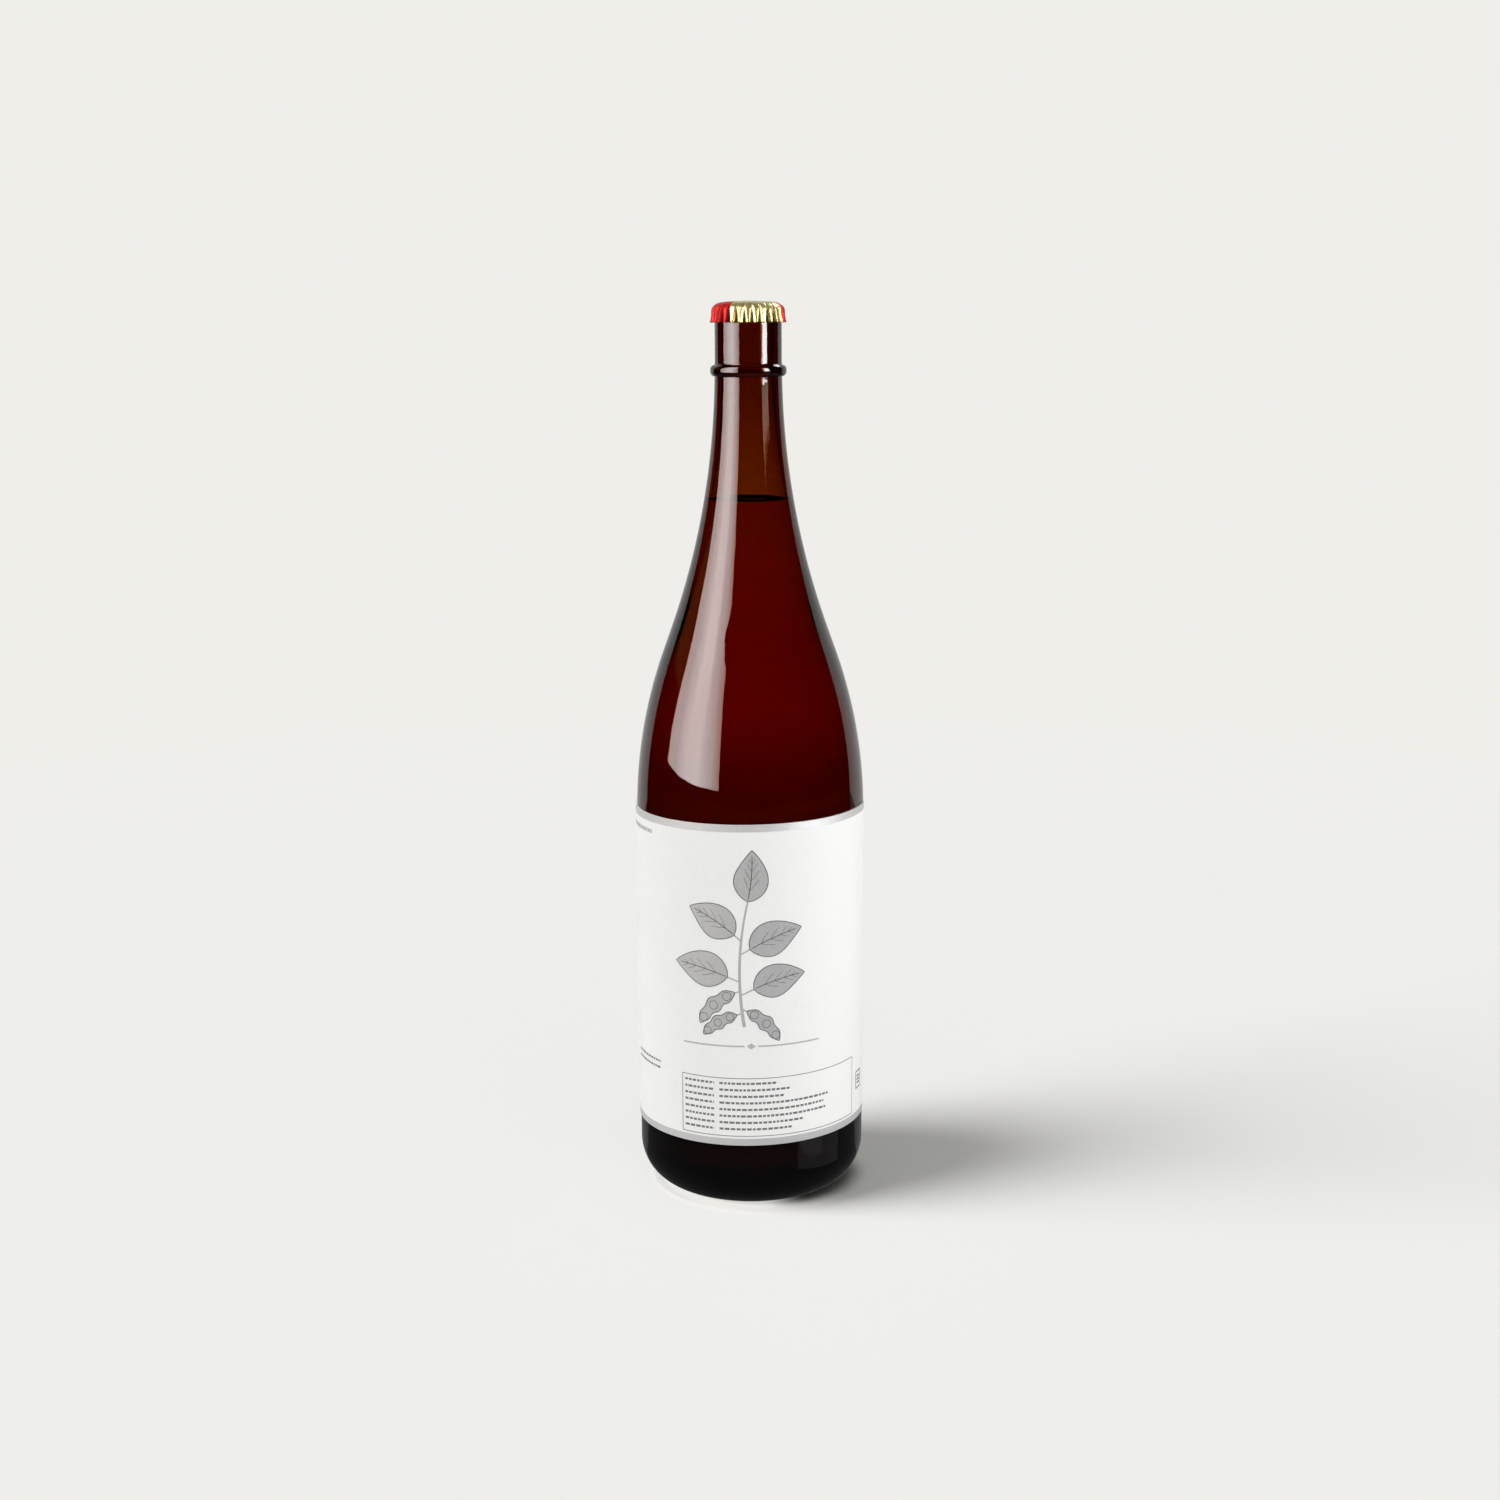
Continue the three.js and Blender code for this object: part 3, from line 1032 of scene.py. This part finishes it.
def make_sun(name, azimuth, elevation, strength, softness):
    """Even light from one side, which shows in no reflection."""
    light = bpy.data.lights.new(name, "SUN")
    light.energy = strength
    light.angle = math.radians(softness)
    lamp = add_light(name, light)
    lamp.rotation_mode = "QUATERNION"
    lamp.rotation_quaternion = towards(azimuth, elevation).to_track_quat("Z", "Y")
    lamp.visible_glossy = False
    lamp.visible_transmission = False
    return lamp


def link_light(lamp, piece, state):
    """Makes a lamp light one object alone (INCLUDE), or all but that object (EXCLUDE)."""
    linked = bpy.data.collections.new(lamp.name + "_linked")
    linked.objects.link(piece)
    linked.collection_objects[0].light_linking.link_state = state
    lamp.light_linking.receiver_collection = linked


def only_in_reflections(thing):
    thing.visible_camera = False
    thing.visible_diffuse = False
    thing.visible_transmission = False
    thing.visible_shadow = False


def upright_place(start, stop, low, high):
    """Where a panel between two places on the floor stands, with its face to the bottle."""
    start, stop = Vector((*start, 0)), Vector((*stop, 0))
    middle, across, up = (start + stop) / 2, (stop - start).normalized(), Vector((0, 0, 1))
    if across.cross(up).dot(middle) < 0:
        across = -across
    turn = Matrix((across, up, across.cross(up))).transposed().to_4x4()
    return Matrix.Translation(middle + up * (low + high) / 2) @ turn, (stop - start).length, high - low


def make_panel(name, start, stop, low, high, radiance, color):
    """An upright light panel, which shows only in reflections."""
    place, width, height = upright_place(start, stop, low, high)
    light = bpy.data.lights.new(name, "AREA")
    light.shape = "RECTANGLE"
    light.size, light.size_y = width, height
    light.energy = RADIANCE_TO_POWER * width * height * radiance
    light.color = color
    lamp = add_light(name, light)
    lamp.matrix_world = place
    only_in_reflections(lamp)


def make_screen(name, start, stop, low, high, material, corner=()):
    """An upright panel of uneven light, which shows only in reflections.

    Its upper corner at the start may be cut, along lengths from the start and heights.
    """
    place, width, _ = upright_place(start, stop, low, high)
    first, last, flat = Vector((*start, 0)), Vector((*stop, 0)), place.inverted()
    cut = corner[0][0] if corner else 0
    edge = [(0, low), (width, low), (width, high), (cut, high), *corner]
    points = [flat @ (first.lerp(last, along / width) + Vector((0, 0, z))) for along, z in edge]
    mesh = bpy.data.meshes.new(name)
    mesh.from_pydata([tuple(p) for p in points], [], [range(len(points))])
    mesh.materials.append(material)
    panel = bpy.data.objects.new(name, mesh)
    bpy.context.collection.objects.link(panel)
    panel.matrix_world = place
    only_in_reflections(panel)


def make_underglow():
    """A dim level panel under the floor, which shows only in reflections low on the bottle."""
    light = bpy.data.lights.new("underglow", "AREA")
    light.size = UNDERGLOW_SIZE
    light.energy = RADIANCE_TO_POWER * UNDERGLOW_SIZE ** 2 * UNDERGLOW_RADIANCE
    lamp = add_light("underglow", light)
    lamp.matrix_world = Matrix.Translation((0, 0, UNDERGLOW_Z)) @ Matrix.Rotation(math.pi, 4, "X")
    only_in_reflections(lamp)


def make_glint():
    """A small lamp close to the label's upper band, for the glint of its silver."""
    light = bpy.data.lights.new("band_glint", "AREA")
    light.size = GLINT_SIZE
    light.energy = RADIANCE_TO_POWER * GLINT_SIZE ** 2 * GLINT_RADIANCE
    lamp = add_light("band_glint", light)
    outward = towards(GLINT_AZIMUTH, 0)
    lamp.rotation_mode = "QUATERNION"
    lamp.rotation_quaternion = outward.to_track_quat("Z", "Y")
    lamp.location = outward * (LABEL_R + GLINT_OFF) + Vector((0, 0, LABEL_TOP))
    lamp.visible_camera = False
    lamp.visible_glossy = False
    lamp.visible_transmission = False
    return lamp


def make_floor():
    s = FLOOR_SIZE
    mesh = bpy.data.meshes.new("floor")
    mesh.from_pydata([(-s, -s, 0), (s, -s, 0), (s, s, 0), (-s, s, 0)], [], [(0, 1, 2, 3)])
    mesh.materials.append(floor_material())
    floor = bpy.data.objects.new("floor", mesh)
    bpy.context.collection.objects.link(floor)
    floor.visible_glossy = False
    return floor


def make_painted_shade_foot():
    """Painted shade: a black round sheet on the floor, seen only through the glass, so that the thick
    heel looks black.
    """
    material, _, _, _ = new_material("painted_shade_foot", Base_Color=(0, 0, 0, 1), Specular_IOR_Level=0.0)
    turn = np.linspace(0, 2 * math.pi, SHADE_FOOT_SIDES, endpoint=False)
    rim = [(SHADE_FOOT_R * math.cos(a), SHADE_FOOT_R * math.sin(a), SHADE_FOOT_Z) for a in turn]
    mesh = bpy.data.meshes.new("painted_shade_foot")
    mesh.from_pydata(rim, [], [range(len(rim))])
    mesh.materials.append(material)
    foot = bpy.data.objects.new("painted_shade_foot", mesh)
    bpy.context.collection.objects.link(foot)
    foot.visible_camera = False
    foot.visible_diffuse = False
    foot.visible_glossy = False
    foot.visible_shadow = False


def make_world():
    """A pale background. What is seen through the glass is pale behind the bottle and dark elsewhere."""
    world = bpy.data.worlds.new("studio")
    bpy.context.scene.world = world
    world.use_nodes = True
    nodes, links = world.node_tree.nodes, world.node_tree.links
    background = nodes["Background"]
    background.inputs["Color"].default_value = (*BACKGROUND, 1)
    rays = nodes.new("ShaderNodeLightPath")
    backwards = axis(nodes, links, "Generated", "Y")
    behind = blend(nodes, links, smooth_range(nodes, links, backwards, *BEHIND), SIDES_DARK, 1.0)
    through = blend(nodes, links, rays.outputs["Is Transmission Ray"], 1.0, behind)
    strength = blend(nodes, links, rays.outputs["Is Diffuse Ray"], through, AMBIENT)
    links.new(strength, background.inputs["Strength"])
    world.cycles_visibility.glossy = False


def make_camera():
    camera = bpy.data.objects.new("camera", bpy.data.cameras.new("camera"))
    bpy.context.collection.objects.link(camera)
    camera.data.sensor_width = CAMERA_SENSOR
    camera.data.lens = CAMERA_LENS
    tilt = Matrix.Rotation(QUARTER - CAMERA_DOWN, 4, "X")
    camera.matrix_world = Matrix.Translation(CAMERA_AT) @ tilt @ Matrix.Rotation(CAMERA_ROLL, 4, "Z")
    bpy.context.scene.camera = camera
    bpy.context.scene.view_settings.view_transform = "Standard"


def make_studio(bands):
    """Floor, background, camera and lights. The floor has its own suns, and the bands their own lamp."""
    floor = make_floor()
    make_painted_shade_foot()
    make_world()
    make_camera()
    for sun in BOTTLE_SUNS:
        link_light(make_sun(*sun), floor, "EXCLUDE")
    for sun in FLOOR_SUNS:
        link_light(make_sun(*sun), floor, "INCLUDE")
    make_screen("softbox", *SOFTBOX, glow(), SOFTBOX_CORNER)
    make_screen("window", *WINDOW, window_light())
    for panel in PANELS:
        make_panel(*panel)
    link_light(make_glint(), bands, "INCLUDE")
    make_underglow()


make_bottle()
make_sauce()
make_cap()
make_studio(make_label())
